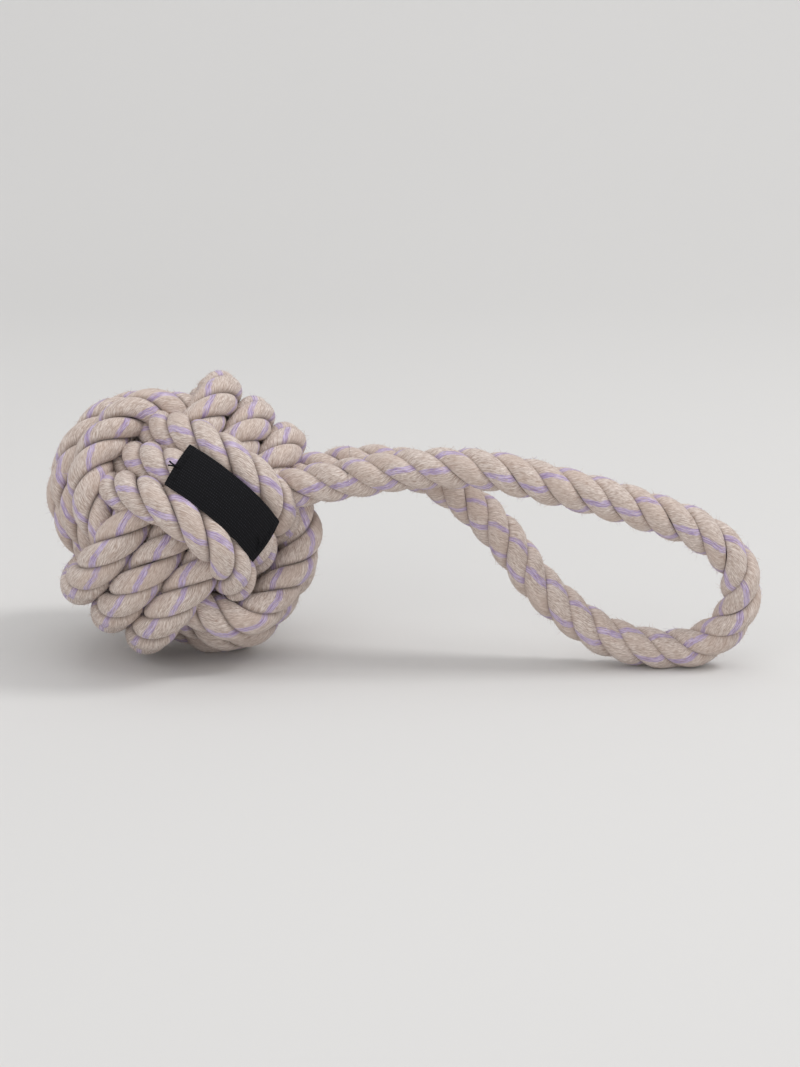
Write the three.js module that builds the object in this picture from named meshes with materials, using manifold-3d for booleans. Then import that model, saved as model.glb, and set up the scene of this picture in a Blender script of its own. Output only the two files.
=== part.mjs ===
// Rope dog toy: a ball of three rope windings knotted through one another, a loop
// handle of the same rope, and a woven label sewn onto the ball.
// Millimetres, +Z up. The origin is on the floor, under the middle of the whole toy.
// +X runs from the ball to the far end of the handle, and the label faces -Y.
import * as THREE from 'three';
import { mergeVertices } from 'three/addons/utils/BufferGeometryUtils.js';
import Module from 'manifold-3d';

const wasm = await Module();
wasm.setup();

// Rope and clearances.
const ROPE_DIAMETER = 14.8; // free rope, in the handle
const WRAP_WIDTH = 13.6; // the same rope pressed among its neighbours in the ball
const WRAP_GAP = 1.4; // between neighbouring turns of one winding
const FIT = 0.3; // between pieces that touch

// The ball: three windings of three turns, square to one another.
const TURNS = 3;
const STEPS_PER_TURN = 24;
const WRAP_SIDES = 6;
const SIDE_CLEARANCE = 2.6; // from a winding's inner run to the turns that it passes
const CROSSING_RISE = 5.5; // how far the outer run bows above the turns that it crosses
const SQUARENESS = 2.75; // exponent of a turn's rounded-square outline
const UPPER_STANCE = 4.7; // the same at the upper winding's bend that the ball stands on
const LOWER_STANCE = 3.6; // and at the lower winding's
const EDGE_FALL = 0.5; // how much lower a winding's outer turns lie than its middle one
const EDGE_SINK = 3; // how much deeper they are pressed in on the inner run
const LABEL_SIDE_FALL = 2; // fall of the upper winding's turn beside the label
const INNER_GAP = 0.4; // between neighbouring turns on the inner run
const BEND = THREE.MathUtils.degToRad(48); // where a turn bends from its inner to its outer run
const BEND_SPREAD = THREE.MathUtils.degToRad(34); // how far from there the outer turns are squeezed
const BEND_SQUEEZE = 0.2; // share of their width that they lose
const LANE_CHANGE = THREE.MathUtils.degToRad(37); // half the hidden arc where a turn changes lane
const LANE_SQUEEZE = 0.16; // share of its width that the rope loses in that arc
const LABEL_NORMAL = new THREE.Vector3(0.275, -0.87, 0.405); // middle of the label's winding
const UPPER_NORMAL = new THREE.Vector3(-0.785, 0.04, 0.615); // middle of the upper winding
const WRAP_FLAT = 0.6; // depth of the flats where the ball stands

// The core: the short end of the rope, coiled inside and led out to the handle.
const CORE_WIDTH = 11.5;
const CORE_NEST = 0.75; // share of the outer turns' sink that its coil keeps clear of
const CORE_GAP = 1.4; // between its turns
const CORE_TURNS = 1.7;
const CORE_STEM = 5.8; // its width squeezed through the hole at the ball's corner

// The handle: the middle of its rope, as offsets from the corner where it leaves the ball.
const EXIT_DEPTH = 3; // how far that corner point lies inside the ball's outer radius
const HANDLE_ROUTE = [
  [-5.2, -5.4, 1.8],
  [15.5, -9.5, 6.4],
  [37.5, -12.5, 10.4],
  [63, -13.5, 10.6],
  [92, -13.5, 4],
  [121, -13, -4.3],
  [145.5, -12.5, -14.4],
  [156.3, -11.5, -25.4],
  [159, -10.5, -35.6],
  [157, -9.5, -45.6],
  [149, -8.5, -55.1],
  [137.5, -8, -59.5],
  [122.5, -8, -58.5],
  [106.5, -6.5, -53.3],
  [85.2, -3, -36.3],
  [71, 0.5, -17.6],
  [56.8, 4, -4.2],
  [40.8, 6.5, 4.8],
  [22.5, 8.5, 7.2],
  [-1.2, 10.2, 3.2],
];
const NECK_LENGTH = 30; // of each leg, from the ball to the loop
const LOOP_STEPS = 56;
const NECK_STEPS = 4;
const HANDLE_SIDES = 10;
const ROPE_FLAT = 1.5; // depth of the flat where the handle lies on the floor

// The label and the thread that holds its ends.
const LABEL_LENGTH = 48;
const LABEL_WIDTH = 18;
const LABEL_THICKNESS = 0.8;
const LABEL_STEPS = 18;
const LABEL_OFFSET = 6.7; // of its middle, along the winding towards the handle
const STITCH_LENGTH = 12;
const STITCH_WIDTH = 1.4;
const STITCH_HEIGHT = 0.8;
const STITCH_INSET = 1.6; // from the label's end

// Worked-out sizes.
const PITCH = WRAP_WIDTH + WRAP_GAP;
const INNER_PITCH = WRAP_WIDTH + INNER_GAP;
const WRAP_THICKNESS = WRAP_WIDTH * Math.cos(Math.PI / WRAP_SIDES);
const INNER = PITCH + WRAP_WIDTH / 2 + WRAP_THICKNESS / 2 + SIDE_CLEARANCE;
const OUTER = INNER + WRAP_THICKNESS + CROSSING_RISE;
const BALL_RADIUS = OUTER + WRAP_THICKNESS / 2;
const CORE_RADIUS = INNER - CORE_NEST * EDGE_SINK - (WRAP_THICKNESS + CORE_WIDTH) / 2 - FIT;

// The ball's own axes: upper winding, lower winding, label winding.
const labelAxis = LABEL_NORMAL.clone().normalize();
const upperAxis = UPPER_NORMAL.clone().projectOnPlane(labelAxis).normalize();
const lowerAxis = new THREE.Vector3().crossVectors(labelAxis, upperAxis);

const cotton = new THREE.MeshStandardMaterial({ color: 0xc3b5a9, roughness: 0.95, metalness: 0 });
const hiddenCotton = new THREE.MeshStandardMaterial({ color: 0xa89c92, roughness: 0.95, metalness: 0 });
const blackWeave = new THREE.MeshStandardMaterial({ color: 0x26262a, roughness: 0.85, metalness: 0 });
const blackThread = new THREE.MeshStandardMaterial({ color: 0x1b1b1e, roughness: 0.8, metalness: 0 });

function along(...terms) {
  const point = new THREE.Vector3();
  for (const [axis, length] of terms) point.addScaledVector(axis, length);
  return point;
}

// A closed body through a list of rings, each with the same number of corner points.
function closedTube(rings) {
  const sides = rings[0].length;
  const end = (rings.length - 1) * sides;
  const index = [];
  for (let start = 0; start < end; start += sides) {
    for (let k = 0; k < sides; k += 1) {
      const here = start + k;
      const beside = start + ((k + 1) % sides);
      index.push(here, beside, here + sides, beside, beside + sides, here + sides);
    }
  }
  for (let k = 1; k < sides - 1; k += 1) {
    index.push(0, k + 1, k);
    index.push(end, end + k, end + k + 1);
  }
  const geometry = new THREE.BufferGeometry().setFromPoints(rings.flat());
  geometry.setIndex(index);
  return geometry;
}

// A rope's cross-section: flat sides above and below, corners to the left and right.
function ropeRing({ centre, side, normal, width, thickness }, sides) {
  const ring = [];
  for (let k = 0; k < sides; k += 1) {
    const angle = (2 * Math.PI * k) / sides;
    const across = (Math.cos(angle) * width) / 2;
    const rise = (Math.sin(angle) * thickness) / 2 / Math.cos(Math.PI / sides);
    ring.push(centre.clone().addScaledVector(side, across).addScaledVector(normal, rise));
  }
  return ring;
}

// Rope sections along a list of points, each with its flat side towards `upAt`.
function ropeRings(points, upAt, widthAt, flatness) {
  return points.map((centre, i) => {
    const before = points[Math.max(i - 1, 0)];
    const after = points[Math.min(i + 1, points.length - 1)];
    const run = new THREE.Vector3().subVectors(after, before).normalize();
    const normal = upAt(i).clone().projectOnPlane(run).normalize();
    const side = new THREE.Vector3().crossVectors(normal, run);
    const width = widthAt(i);
    return ropeRing({ centre, side, normal, width, thickness: width * flatness }, WRAP_SIDES);
  });
}

// Least gap from a winding to itself, over points that are at least half a turn apart.
function leastSelfGap(points, widthAt, apart) {
  let least = Infinity;
  for (let i = 0; i < points.length; i += 1) {
    for (let j = i + apart; j < points.length; j += 1) {
      const gap = points[i].distanceTo(points[j]) - (widthAt(i) + widthAt(j)) / 2;
      least = Math.min(least, gap);
    }
  }
  return least;
}

// A turn's rounded-square outline in its own plane: [inward, out] at an angle about the ball.
function turnOutline(angle, sink = 0, fall = 0, squareness = SQUARENESS) {
  const c = Math.cos(angle);
  const d = Math.sin(angle);
  const inner = INNER - sink * c ** 4;
  const outer = OUTER - fall;
  const power = Math.abs(c / inner) ** squareness + Math.abs(d / outer) ** squareness;
  const reach = power ** (-1 / squareness);
  return new THREE.Vector2(reach * c, reach * d);
}

// One winding. Its turns lie in the plane of `out` and `inward`, side by side along `across`.
// A turn moves to the next lane on the hidden run at -inward, where both rope ends also lie.
// The ball stands on the bend whose sides along `inward` and `out` have the signs in `stands`,
// and that bend is as square as `stance`. `frontFall` is the fall of the last lane's outer run.
function winding(name, out, inward, across, shape = {}) {
  const { stands = [0, 0], stance = SQUARENESS, frontFall = EDGE_FALL } = shape;
  const first = Math.PI + LANE_CHANGE;
  const last = 2 * Math.PI * TURNS + Math.PI - LANE_CHANGE;
  const steps = Math.round(((last - first) / (2 * Math.PI)) * STEPS_PER_TURN);
  const points = [];
  const normals = [];
  const squeezes = [];
  for (let s = 0; s <= steps; s += 1) {
    const angle = first + ((last - first) * s) / steps;
    const turn = Math.floor(angle / (2 * Math.PI));
    const fromHidden = angle - 2 * Math.PI * turn - Math.PI;
    const change = THREE.MathUtils.smoothstep(fromHidden, -LANE_CHANGE, LANE_CHANGE);
    const lane = turn - 1 + change - (TURNS - 1) / 2;
    const edge = Math.min(1, lane ** 2);
    const fall = edge * (lane > 0 && Math.sin(angle) > 0 ? frontFall : EDGE_FALL);
    const standing = Math.cos(angle) * stands[0] > 0 && Math.sin(angle) * stands[1] > 0;
    const { x, y } = turnOutline(angle, edge * EDGE_SINK, fall, standing ? stance : SQUARENESS);
    const aside = lane * THREE.MathUtils.lerp(PITCH, INNER_PITCH, Math.cos(angle) ** 2);
    points.push(along([inward, x], [out, y], [across, aside]));
    normals.push(along([inward, x], [out, y]).normalize());
    const nearHidden = 1 - THREE.MathUtils.smoothstep(Math.abs(fromHidden), 0, 1.3 * LANE_CHANGE);
    const offBend = Math.abs(Math.atan2(Math.abs(y), Math.abs(x)) - BEND);
    const nearBend = 1 - THREE.MathUtils.smoothstep(offBend, BEND_SPREAD / 6, BEND_SPREAD);
    squeezes.push(1 - Math.max(LANE_SQUEEZE * nearHidden, BEND_SQUEEZE * nearBend * edge));
  }
  const widthAt = (i) => WRAP_WIDTH * squeezes[i];
  const gap = leastSelfGap(points, widthAt, STEPS_PER_TURN / 2);
  console.log(`${name}: least gap to itself ${gap.toFixed(2)} mm`);
  const flatness = WRAP_THICKNESS / WRAP_WIDTH;
  return closedTube(ropeRings(points, (i) => normals[i], widthAt, flatness));
}

// The core: a short coil about the lower axis, then a stem through the corner hole to the legs.
function core(corner, end) {
  const pitch = CORE_WIDTH + CORE_GAP;
  const stemReach = INNER * Math.sqrt(3);
  const holeAngle = Math.atan2(corner.dot(labelAxis), corner.dot(upperAxis));
  const holeDistance = stemReach * Math.hypot(corner.dot(labelAxis), corner.dot(upperAxis));
  const last = holeAngle - Math.acos(CORE_RADIUS / holeDistance);
  const steps = Math.round(CORE_TURNS * STEPS_PER_TURN);
  const points = [];
  const widths = [];
  for (let s = 0; s <= steps; s += 1) {
    const toEnd = CORE_TURNS * (1 - s / steps);
    const angle = last - 2 * Math.PI * toEnd;
    const height = pitch * (toEnd - CORE_TURNS / 2);
    points.push(along(
      [upperAxis, CORE_RADIUS * Math.cos(angle)],
      [labelAxis, CORE_RADIUS * Math.sin(angle)],
      [lowerAxis, height],
    ));
    widths.push(CORE_WIDTH);
  }
  const gap = leastSelfGap(points, () => CORE_WIDTH, STEPS_PER_TURN / 2);
  console.log(`core_coil: least gap to itself ${gap.toFixed(2)} mm`);
  for (const [reach, width] of [
    [stemReach * 0.55, (CORE_WIDTH + CORE_STEM) / 2],
    [stemReach * 0.75, CORE_STEM],
    [end, CORE_STEM],
  ]) {
    points.push(corner.clone().multiplyScalar(reach));
    widths.push(width);
  }
  return closedTube(ropeRings(points, () => lowerAxis, (i) => widths[i], 1));
}

// A stretch of the handle's route, between two distances along it.
class Stretch extends THREE.Curve {
  constructor(whole, from, to) {
    super();
    this.whole = whole;
    this.from = from / whole.getLength();
    this.to = to / whole.getLength();
  }

  getPoint(t, target = new THREE.Vector3()) {
    return this.whole.getPointAt(this.from + (this.to - this.from) * t, target);
  }
}

function ropeLength(whole, from, to, steps) {
  const circle = new THREE.Shape();
  circle.absarc(0, 0, ROPE_DIAMETER / 2, 0, 2 * Math.PI);
  const outline = new THREE.Shape(circle.getSpacedPoints(HANDLE_SIDES).slice(0, HANDLE_SIDES));
  const extrudePath = new Stretch(whole, from, to);
  return new THREE.ExtrudeGeometry(outline, { steps, extrudePath, bevelEnabled: false });
}

// A strip over the label winding's middle turn, curved as that turn is. `from` and `to` are
// distances along the turn from its middle, and `lift` is the height of the underside above it.
function strip(from, to, steps, lift, thickness, width) {
  const rings = [];
  for (let s = 0; s <= steps; s += 1) {
    const angle = Math.PI / 2 + (from + ((to - from) * s) / steps) / BALL_RADIUS;
    const run = turnOutline(angle + 0.01).sub(turnOutline(angle - 0.01)).normalize();
    const corners = [[0, 1], [0, -1], [thickness, -1], [thickness, 1]];
    rings.push(corners.map(([height, half]) => {
      const rise = WRAP_THICKNESS / 2 + lift + height;
      const { x, y } = turnOutline(angle).add(new THREE.Vector2(run.y, -run.x).multiplyScalar(rise));
      return along([upperAxis, x], [labelAxis, y], [lowerAxis, (half * width) / 2]);
    }));
  }
  return closedTube(rings);
}

function toSolid(geometry) {
  const bare = geometry.clone();
  bare.deleteAttribute('normal');
  bare.deleteAttribute('uv');
  const merged = mergeVertices(bare, 1e-4);
  const mesh = new wasm.Mesh({
    numProp: 3,
    vertProperties: new Float32Array(merged.attributes.position.array),
    triVerts: new Uint32Array(merged.index.array),
  });
  return new wasm.Manifold(mesh);
}

function toGeometry(solid) {
  const mesh = solid.getMesh();
  const geometry = new THREE.BufferGeometry();
  geometry.setAttribute('position', new THREE.BufferAttribute(mesh.vertProperties, 3));
  geometry.setIndex(new THREE.BufferAttribute(mesh.triVerts, 1));
  return geometry;
}

function lowest(geometry) {
  geometry.computeBoundingBox();
  return geometry.boundingBox.min.z;
}

// What lies under the floor is cut away, which leaves the flats that the toy stands on.
function cutAtFloor(geometry, floor) {
  if (lowest(geometry) >= floor) return geometry;
  const reach = 20 * BALL_RADIUS;
  const ground = new THREE.BoxGeometry(reach, reach, reach);
  ground.translate(0, 0, floor - reach / 2);
  return toGeometry(toSolid(geometry).subtract(toSolid(ground)));
}

// The ball's middle is the origin until the finished toy is moved onto the floor.
const corner = along([upperAxis, -1], [lowerAxis, -1], [labelAxis, 1]).normalize();
const exitReach = BALL_RADIUS - EXIT_DEPTH;
const exit = corner.clone().multiplyScalar(exitReach);
const stemEnd = exitReach + corner.dot(new THREE.Vector3(...HANDLE_ROUTE[0])) - 3 * FIT;
const firstWraps = winding('first_wraps', upperAxis, lowerAxis, labelAxis, {
  stands: [1, -1],
  stance: UPPER_STANCE,
  frontFall: LABEL_SIDE_FALL,
});
const secondWraps = winding('second_wraps', lowerAxis, labelAxis, upperAxis, {
  stands: [-1, 1],
  stance: LOWER_STANCE,
});
const thirdWraps = winding('third_wraps', labelAxis, upperAxis, lowerAxis);
const floor = Math.min(...[firstWraps, secondWraps, thirdWraps].map(lowest)) + WRAP_FLAT;

// The handle hangs from the ball, and its lowest stretch settles on the floor.
const lowestOffset = Math.min(...HANDLE_ROUTE.map(([, , z]) => z));
const settle = (floor + ROPE_DIAMETER / 2 - ROPE_FLAT - exit.z) / lowestOffset;
const route = new THREE.CatmullRomCurve3(HANDLE_ROUTE.map(([x, y, z]) => (
  new THREE.Vector3(x, y, z < 0 ? z * settle : z).add(exit)
)));
const routeLength = route.getLength();
const loopStart = NECK_LENGTH + FIT;
const loopEnd = routeLength - NECK_LENGTH - FIT;
const handleLoop = ropeLength(route, loopStart, loopEnd, LOOP_STEPS);
console.log(`handle rope: ${routeLength.toFixed(0)} mm, its drop scaled by ${settle.toFixed(3)}`);

const labelFrom = LABEL_OFFSET - LABEL_LENGTH / 2;
const labelTo = LABEL_OFFSET + LABEL_LENGTH / 2;
const stitchLift = 2 * FIT + LABEL_THICKNESS;
const leftStitch = labelFrom + STITCH_INSET;
const rightStitch = labelTo - STITCH_INSET - STITCH_WIDTH;

const stitch = (from) => (
  strip(from, from + STITCH_WIDTH, 1, stitchLift, STITCH_HEIGHT, STITCH_LENGTH)
);

const pieces = [
  ['first_wraps', cutAtFloor(firstWraps, floor), cotton],
  ['second_wraps', cutAtFloor(secondWraps, floor), cotton],
  ['third_wraps', cutAtFloor(thirdWraps, floor), cotton],
  ['core_coil', core(corner, stemEnd), hiddenCotton],
  ['neck_front', ropeLength(route, 0, NECK_LENGTH, NECK_STEPS), cotton],
  ['neck_rear', ropeLength(route, routeLength - NECK_LENGTH, routeLength, NECK_STEPS), cotton],
  ['handle_loop', cutAtFloor(handleLoop, floor), cotton],
  ['label', strip(labelFrom, labelTo, LABEL_STEPS, FIT, LABEL_THICKNESS, LABEL_WIDTH), blackWeave],
  ['label_stitch_left', stitch(leftStitch), blackThread],
  ['label_stitch_right', stitch(rightStitch), blackThread],
];

const toy = new THREE.Group();
for (const [name, geometry, material] of pieces) {
  const mesh = new THREE.Mesh(geometry, material);
  mesh.name = name;
  toy.add(mesh);
}
const box = new THREE.Box3().setFromObject(toy);
const middle = box.getCenter(new THREE.Vector3());
toy.position.set(-middle.x, -middle.y, -floor);

const group = new THREE.Group();
group.add(toy);

export default group;
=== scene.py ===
# %% [markdown]
# # A rope dog toy
# A dog's tug toy, tied from one length of thick three-strand cotton rope: a ball of three windings
# knotted through one another, and a loop handle that comes out of one corner of the ball. A black
# woven label is sewn onto the ball. The imported model is loaded first, as a fixed frame, and every
# piece below is made in its place. The pieces of the ball ride on the model's fist body.

# %% Load the frame
import math
import random

import bpy
import numpy as np
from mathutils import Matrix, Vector


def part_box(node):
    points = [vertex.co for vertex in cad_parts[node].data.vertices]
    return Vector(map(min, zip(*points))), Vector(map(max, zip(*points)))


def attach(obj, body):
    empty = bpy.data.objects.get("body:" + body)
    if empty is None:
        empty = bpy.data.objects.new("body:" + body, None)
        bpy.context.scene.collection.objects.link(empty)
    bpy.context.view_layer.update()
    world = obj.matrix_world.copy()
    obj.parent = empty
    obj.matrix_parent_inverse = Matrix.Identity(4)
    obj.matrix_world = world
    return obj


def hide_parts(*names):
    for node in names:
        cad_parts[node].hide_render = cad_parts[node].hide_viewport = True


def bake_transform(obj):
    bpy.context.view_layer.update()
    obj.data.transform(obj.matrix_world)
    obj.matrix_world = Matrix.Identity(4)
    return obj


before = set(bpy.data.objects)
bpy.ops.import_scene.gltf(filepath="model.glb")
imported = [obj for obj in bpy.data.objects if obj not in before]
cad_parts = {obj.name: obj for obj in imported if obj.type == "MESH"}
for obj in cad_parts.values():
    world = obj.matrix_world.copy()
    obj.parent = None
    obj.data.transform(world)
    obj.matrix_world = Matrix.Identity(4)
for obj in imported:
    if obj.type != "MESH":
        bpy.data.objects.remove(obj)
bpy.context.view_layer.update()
MM = 0.001

# %% [markdown]
# ## Camera
# The photograph is taken from a little above, square to the handle, with a long lens. The camera is
# placed by the pixel where the ball's middle falls, so that everything after it can be compared
# with the photograph at once. The picture is upright, so the sensor's width spans its height.

# %% Place the camera
PHOTO_WIDTH, PHOTO_HEIGHT = 800, 1067
FOCAL_PX = 2949
BALL_PX = (184, 516)
CAMERA_DISTANCE = 1100 * MM
CAMERA_TILT = math.radians(15)
SENSOR = 36  # mm
VIEW_END = 20  # metres

label_winding_low, label_winding_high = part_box("third_wraps")
ball_middle = np.array(label_winding_low + label_winding_high) / 2
view_up = np.array([0, math.sin(CAMERA_TILT), math.cos(CAMERA_TILT)])
view_back = np.array([0, -math.cos(CAMERA_TILT), math.sin(CAMERA_TILT)])
metres_per_px = CAMERA_DISTANCE / FOCAL_PX
right_of_axis = (BALL_PX[0] - PHOTO_WIDTH / 2) * metres_per_px
below_axis = (BALL_PX[1] - PHOTO_HEIGHT / 2) * metres_per_px
eye = ball_middle + CAMERA_DISTANCE * view_back + below_axis * view_up
eye[0] -= right_of_axis

bpy.ops.object.camera_add(location=eye, rotation=(math.pi / 2 - CAMERA_TILT, 0, 0))
camera = bpy.context.object
camera.data.sensor_width = SENSOR
camera.data.lens = FOCAL_PX * SENSOR / PHOTO_HEIGHT
camera.data.clip_end = VIEW_END
bpy.context.scene.camera = camera
print("camera at", eye.round(3), "lens", round(camera.data.lens, 1))

# %% [markdown]
# ## The way the ropes run
# The ball has three axes, one through the middle of each winding. Each winding goes round the ball
# three times, outside one winding and inside the other. Its turn is a rounded square: it bows out
# where it shows, and dives under where it is hidden. There the rope also moves over to its next lane.
# The handle follows points set out from the corner where its two legs leave the ball.

# %% Axes of the ball
LABEL_NORMAL = np.array([0.275, -0.87, 0.405])
UPPER_NORMAL = np.array([-0.785, 0.04, 0.615])


def unit(vectors):
    return vectors / np.linalg.norm(vectors, axis=-1, keepdims=True)


label_axis = unit(LABEL_NORMAL)
upper_axis = unit(UPPER_NORMAL - label_axis * (UPPER_NORMAL @ label_axis))
lower_axis = np.cross(label_axis, upper_axis)
corner = unit(label_axis - upper_axis - lower_axis)
print("label axis", label_axis.round(3), "corner of the handle", corner.round(3))

# %% Outline of a turn
LANES = (-1, 0, 1)  # the three turns of a winding, side by side
INNER_REACH = 29 * MM  # from the ball's middle to a turn's hidden run


def of_half(angles, front, back):
    return np.where(np.sin(angles) > 0, front, back)


def turn_outline(angles, front, back, lane=0):
    """A turn's rounded square: its front half bows out one way and its back half the other."""
    reaches = [np.interp(lane, LANES, half["reach"]) * MM for half in (front, back)]
    squares = [np.where(np.cos(angles) > 0, *half["square"]) for half in (front, back)]
    outer = of_half(angles, *reaches)
    square = of_half(angles, *squares)
    power = np.abs(np.cos(angles) / INNER_REACH) ** square + np.abs(np.sin(angles) / outer) ** square
    reach = power ** (-1 / square)
    return reach * np.cos(angles), reach * np.sin(angles)


# %% Path of a winding
TURNS = 3
LANE_CHANGE = math.radians(37)  # half the hidden arc where the rope changes lane
PATH_SAMPLES = 6000
RING_STEP = 1.3 * MM  # between the rings of points along a rope


def smooth(values, low, high):
    """A share that rises gently from 0 at low to 1 at high."""
    share = np.clip((values - low) / (high - low), 0, 1)
    return share * share * (3 - 2 * share)


def path_runs(points):
    """The distance along a path to each of its points."""
    gaps = np.linalg.norm(np.diff(points, axis=0), axis=1)
    return np.concatenate([[0], np.cumsum(gaps)])


def evenly(points, step):
    """Places along a path about a step apart, counted in its points."""
    runs = path_runs(points)
    wanted = np.linspace(0, runs[-1], int(round(runs[-1] / step)) + 1)
    return np.interp(wanted, runs, np.arange(len(points)))


def winding_path(out, inward, across, front, back):
    """Points along a winding, the way out of the ball at each, and its angle round the ball."""
    first = math.pi + LANE_CHANGE
    last = 2 * math.pi * TURNS + math.pi - LANE_CHANGE
    fine = np.linspace(first, last, PATH_SAMPLES)

    def at(angles):
        turn = np.floor(angles / (2 * math.pi))
        past_hidden = angles - 2 * math.pi * turn - math.pi
        lane = turn - 1 + smooth(past_hidden, -LANE_CHANGE, LANE_CHANGE) - (TURNS - 1) / 2
        x, y = turn_outline(angles, front, back, lane)
        flat = np.outer(x, inward) + np.outer(y, out)
        sides = [np.interp(lane, LANES, half["side"]) * MM for half in (front, back)]
        middle = (sides[0] + sides[1]) / 2
        aside = middle + (of_half(angles, *sides) - middle) * np.sin(angles) ** 2
        return ball_middle + flat + np.outer(aside, across), unit(flat)

    places = evenly(at(fine)[0], RING_STEP)
    angles = np.interp(places, np.arange(len(fine)), fine)
    points, outward = at(angles)
    return points, outward, angles


# %% Points of the handle
EXIT_REACH = 50.46 * MM  # from the ball's middle to the corner where the legs leave it
FLOOR_CENTRE = 6.8 * MM  # height of the rope's middle where the loop lies on the floor
HANDLE_ROUTE = np.array([
    (-5.2, -5.4, 1.8),
    (15.5, -9.5, 6.4),
    (37.5, -12.5, 10.4),
    (63, -13.5, 10.6),
    (92, -13.5, 4),
    (121, -13, -4.3),
    (145.5, -12.5, -14.4),
    (156.3, -11.5, -25.4),
    (159, -10.5, -35.6),
    (157, -9.5, -45.6),
    (149, -8.5, -55.1),
    (137.5, -8, -59.5),
    (122.5, -8, -58.5),
    (106.5, -6.5, -53.3),
    (85.2, -3, -36.3),
    (71, 0.5, -17.6),
    (56.8, 4, -4.2),
    (40.8, 6.5, 4.8),
    (22.5, 8.5, 7.2),
    (-1.2, 10.2, 3.2),
]) * MM
INTO_BALL = (22 * MM, 11 * MM)  # depths of the points that lead each leg into the ball
LEGS_MEET = 30 * MM  # depth at which the two legs would meet

exit_point = ball_middle + corner * EXIT_REACH
settle = (FLOOR_CENTRE - exit_point[2]) / HANDLE_ROUTE[:, 2].min()
offsets = HANDLE_ROUTE.copy()
offsets[:, 2] *= np.where(offsets[:, 2] < 0, settle, 1)


def into_ball(leg_offset):
    return [leg_offset * (1 - depth / LEGS_MEET) - corner * depth for depth in INTO_BALL]


offsets = np.array([*into_ball(offsets[0]), *offsets, *into_ball(offsets[-1])[::-1]])
route = exit_point + offsets
print(f"handle: {len(route)} points, its drop scaled by {settle:.3f}")


# %% Curve of the handle
def curve_through(points, per_span=60):
    """A centripetal Catmull-Rom curve through the points."""
    points = np.array([2 * points[0] - points[1], *points, 2 * points[-1] - points[-2]])
    spans = np.linalg.norm(np.diff(points, axis=0), axis=1)
    knots = np.concatenate([[0], np.cumsum(spans ** 0.5)])
    curve = []
    for i in range(1, len(points) - 2):
        a, b, c, d = points[i - 1:i + 3]
        ta, tb, tc, td = knots[i - 1:i + 3]
        t = np.linspace(tb, tc, per_span, endpoint=False)[:, None]
        ab = ((tb - t) * a + (t - ta) * b) / (tb - ta)
        bc = ((tc - t) * b + (t - tb) * c) / (tc - tb)
        cd = ((td - t) * c + (t - tc) * d) / (td - tc)
        abc = ((tc - t) * ab + (t - ta) * bc) / (tc - ta)
        bcd = ((td - t) * bc + (t - tb) * cd) / (td - tb)
        curve.extend(((tc - t) * abc + (t - tb) * bcd) / (tc - tb))
    return np.array([*curve, points[-2]])


handle_fine = curve_through(route)
places = evenly(handle_fine, RING_STEP)
steps = np.arange(len(handle_fine))
handle_points = np.column_stack([np.interp(places, steps, handle_fine[:, k]) for k in range(3)])
handle_runs = np.arange(len(handle_points)) * RING_STEP
print(f"handle rope {handle_runs[-1] / MM:.0f} mm with its ends in the ball")

# %% [markdown]
# ## Three-strand rope
# Three strands are laid round one another to the right, and the yarns in each strand turn to the
# left, so on the outside they run nearly along the rope. A strand is modelled as a tube whose section
# is a third of the rope's round, a little crowned, with a crease where it meets the next strand. In the
# ball the strands are pressed flatter than in the free loop. Each point also remembers where it lies
# among the strand's yarns, and the cotton's material draws fibres and tracer yarns from that.

# %% Strand sections
STRANDS = 3
STRAND_CENTRE = 0.5  # from the rope's middle, as a share of its radius
CREST_POINTS = 21
CREST_CROWDING = 1.25  # above 1 it draws the points towards the creases
CROWN_POWER = 2.2
CREASE_POWER = 9
CREASE_SHADE_START = 0.7  # share of the crest's half width where the painted shade begins
INNER_TURNS = (1, 1, 1, 0, -1, -1, -1)  # down one side to the rope's middle, and up the other
INNER_REACHES = (0.55, 0.35, 0.15, 0.02, 0.15, 0.35, 0.55)

crest = np.linspace(-1, 1, CREST_POINTS)
crest = np.sign(crest) * (1 - (1 - np.abs(crest)) ** CREST_CROWDING)
section_turn = np.concatenate([crest, INNER_TURNS]) * math.pi / STRANDS
# How far into the crease each point of the section lies: it sets the painted shade, and keeps loose fibres
# out of the crease.
section_crease = np.concatenate([smooth(np.abs(crest), CREASE_SHADE_START, 1.0), np.ones(len(INNER_TURNS))])
STRAND_SIDES = len(section_turn)


def strand_section(crown, crease, crease_shade):
    """A strand's outline, as shares of the rope's radius, and the painted shade in its creases."""
    outer = 1 - crown * np.abs(crest) ** CROWN_POWER - crease * np.abs(crest) ** CREASE_POWER
    reach = np.concatenate([outer, INNER_REACHES])
    x = reach * np.cos(section_turn) - STRAND_CENTRE
    return x, reach * np.sin(section_turn), crease_shade * section_crease


# The last number is how much painted shade, a darker brown, lies at the bottom of a crease.
PRESSED_STRAND = strand_section(crown=0.24, crease=0.08, crease_shade=0.4)
FREE_STRAND = strand_section(crown=0.27, crease=0.02, crease_shade=0.12)
print("sides of a strand:", STRAND_SIDES)

# %% Strand tubes
CREASE_GAP = 0.05 * MM  # between a strand and the side of its third of the rope
YARN_RADIUS = 4.0  # mm, of the circle on which the places of the yarns lie


def rope_frame(points, outward):
    """Along, out of and across a rope at each point, and the distance to it."""
    tangents = unit(np.gradient(points, axis=0))
    up = unit(outward - tangents * np.sum(outward * tangents, axis=1, keepdims=True))
    return tangents, up, np.cross(tangents, up), path_runs(points)


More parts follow.
